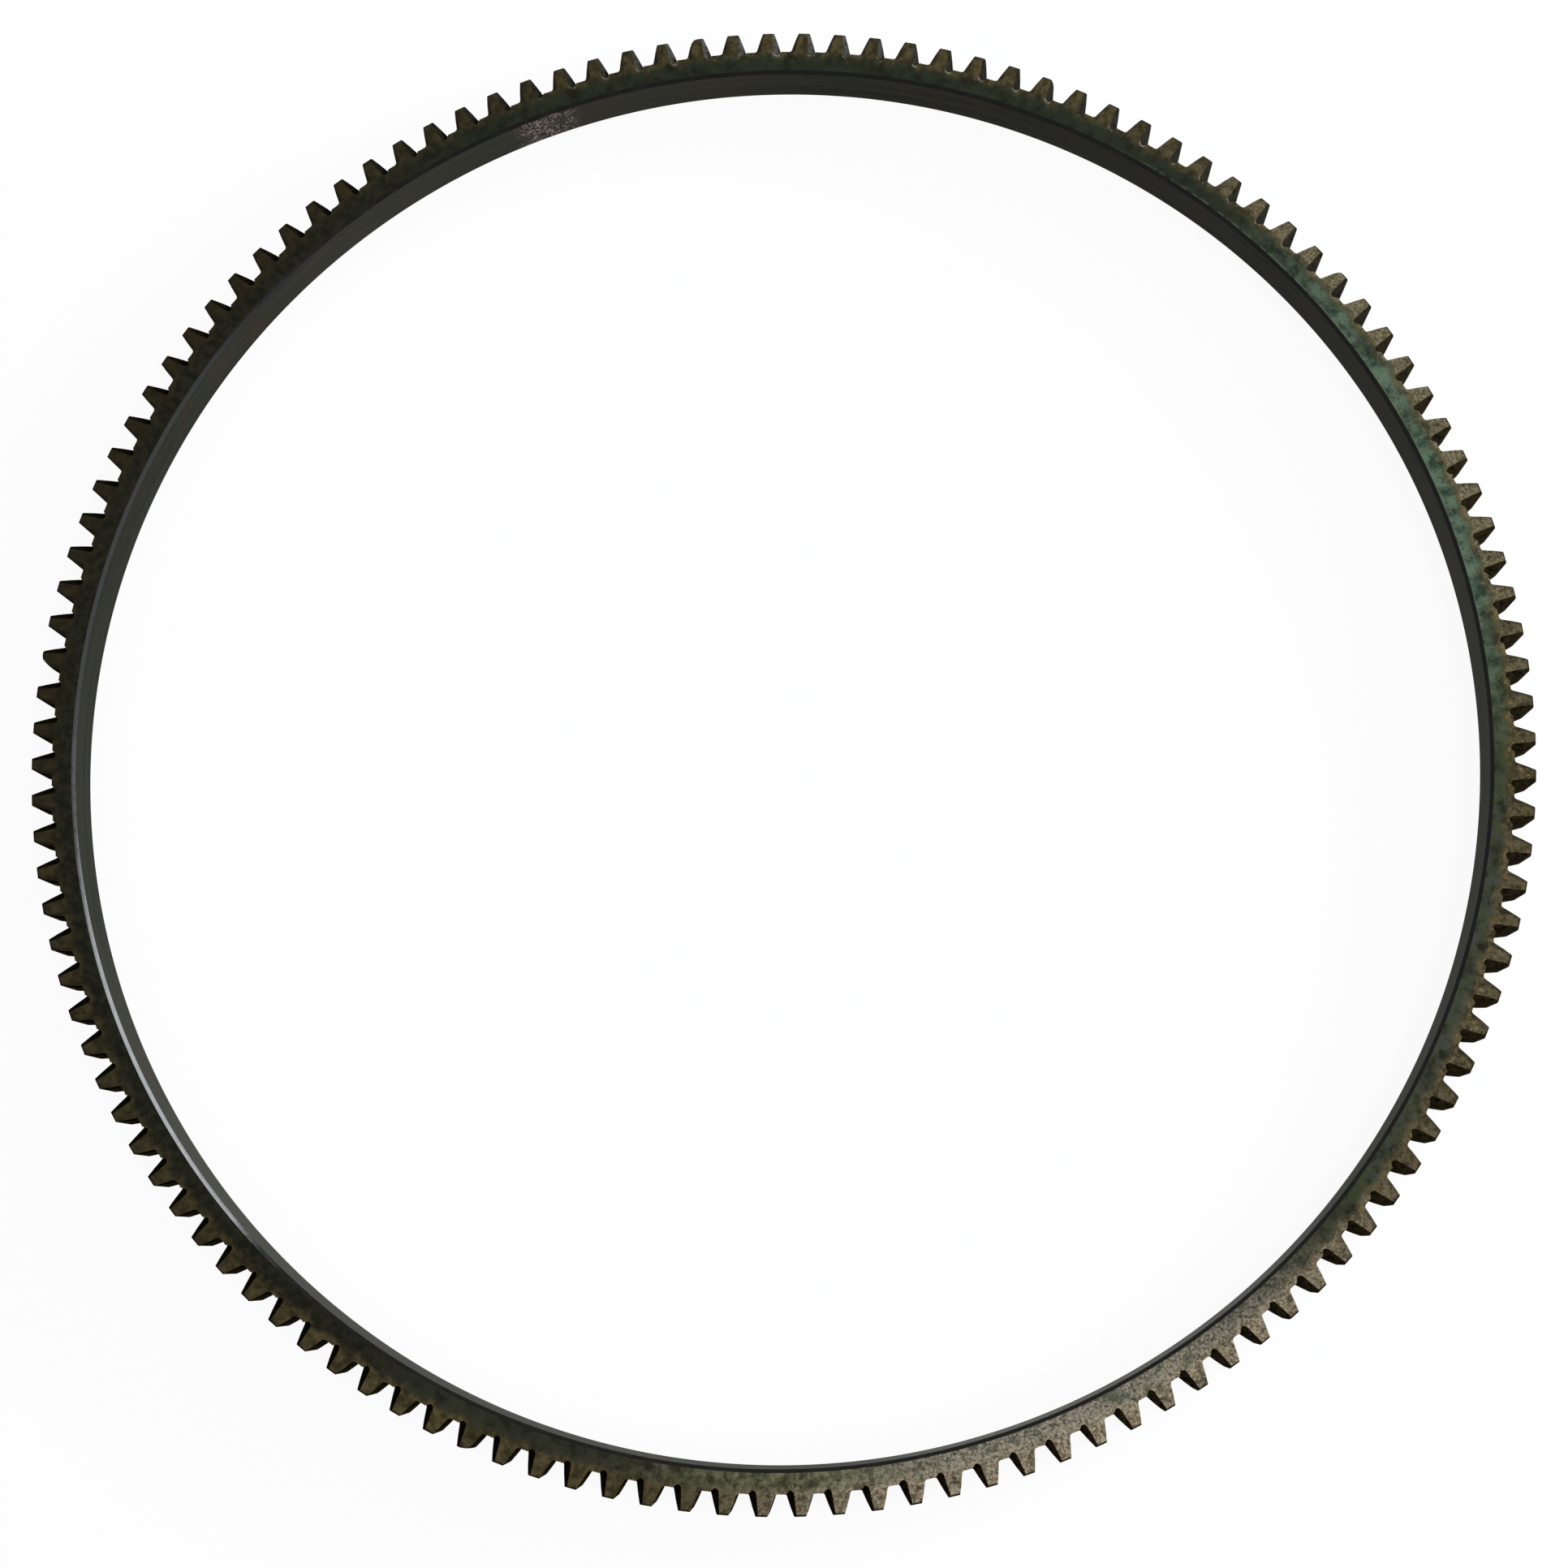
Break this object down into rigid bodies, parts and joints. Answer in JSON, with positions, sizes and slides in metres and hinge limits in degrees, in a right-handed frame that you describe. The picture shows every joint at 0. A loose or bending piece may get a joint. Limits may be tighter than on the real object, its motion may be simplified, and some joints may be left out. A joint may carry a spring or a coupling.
{
  "type": "flywheel ring gear",
  "caption": "Slim steel starter ring gear with stub teeth outside, a plain shrink-fit bore and a lead-in facet on each tooth at the front, heat-tinted and oily",
  "frame": {"origin": "centre of the rear face, on the axis of the bore, where the ring lies on a bench", "axes": "+Z along the bore axis, out of the front face with the lead-in of the teeth; one tooth points to +Y; right-handed"},
  "size_m": [0.4084, 0.4082, 0.0159],
  "materials": {
    "ring_steel": "turned and hobbed steel, dull dark oxide with brown heat tint on the teeth and worn green primer on the front face"
  },
  "bodies": {
    "root": {"ring_gear": "ring_steel"}
  },
  "joints": []
}
